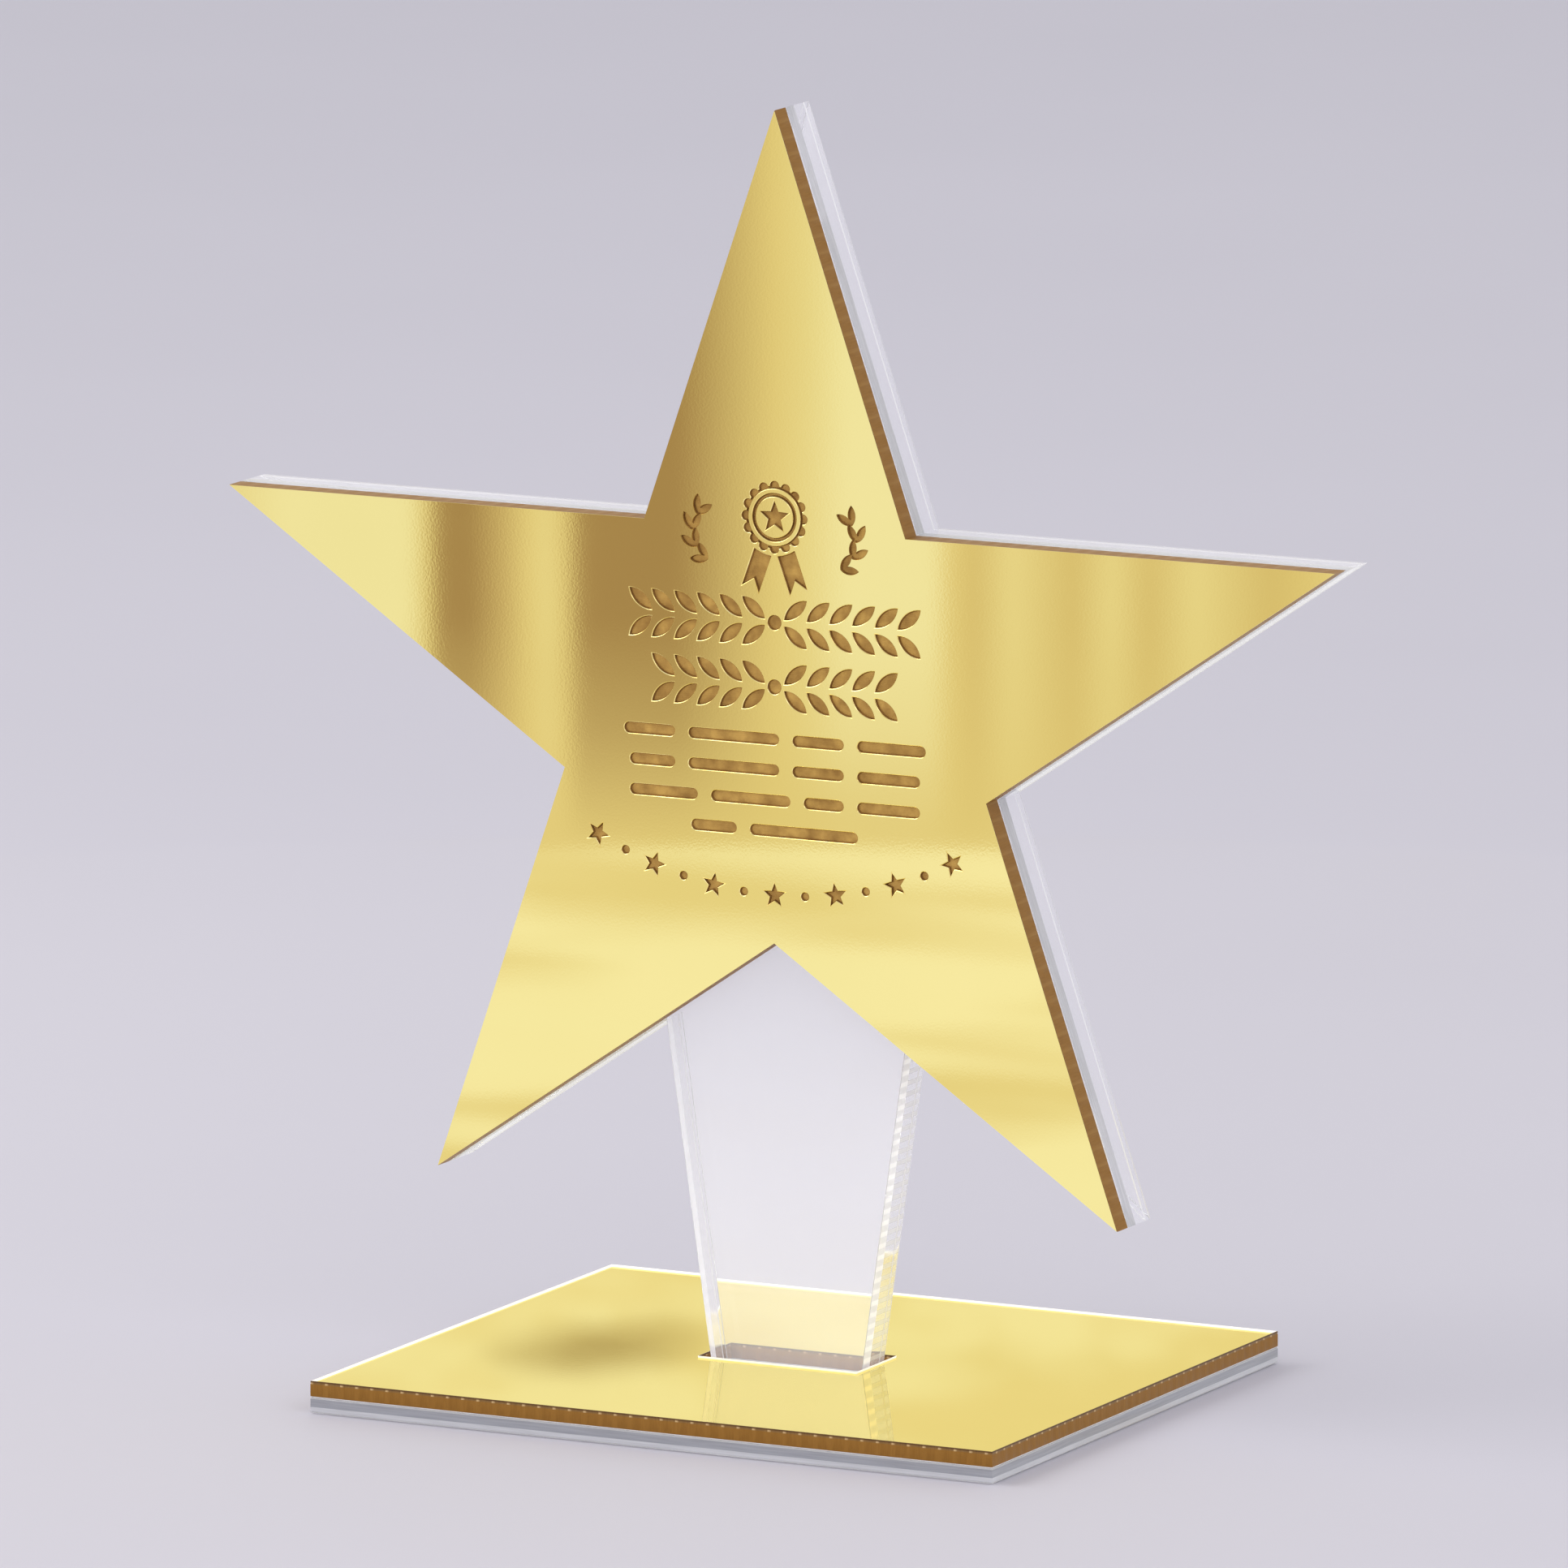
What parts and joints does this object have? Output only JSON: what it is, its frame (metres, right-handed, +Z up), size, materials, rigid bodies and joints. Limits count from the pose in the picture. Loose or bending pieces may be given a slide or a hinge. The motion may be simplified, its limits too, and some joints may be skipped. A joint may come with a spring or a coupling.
{
  "type": "star trophy",
  "caption": "Free-standing award: a mirror-gold star on a clear backing plate with a tapered stem, whose tab stands in a slot in a flat two-layer base.",
  "frame": {"origin": "centre of the underside of the base, on the surface that the trophy stands on", "axes": "+Z up; the engraved gold face of the star looks towards -Y; +X runs to the right of someone who faces it"},
  "size_m": [0.195, 0.104, 0.2061],
  "materials": {
    "gold_mirror_acrylic": "polished",
    "clear_acrylic": "polished",
    "bond_film": "satin"
  },
  "bodies": {
    "base": {"base_plate": "clear_acrylic", "base_film": "bond_film", "base_face": "gold_mirror_acrylic"},
    "star": {"back_plate": "clear_acrylic", "star_film": "bond_film", "star_face": "gold_mirror_acrylic"}
  },
  "joints": [
    {"name": "star_lift", "type": "slide", "parent": "base", "child": "star", "axis": [0, 0, 1], "range_m": [0, 0.02]}
  ]
}
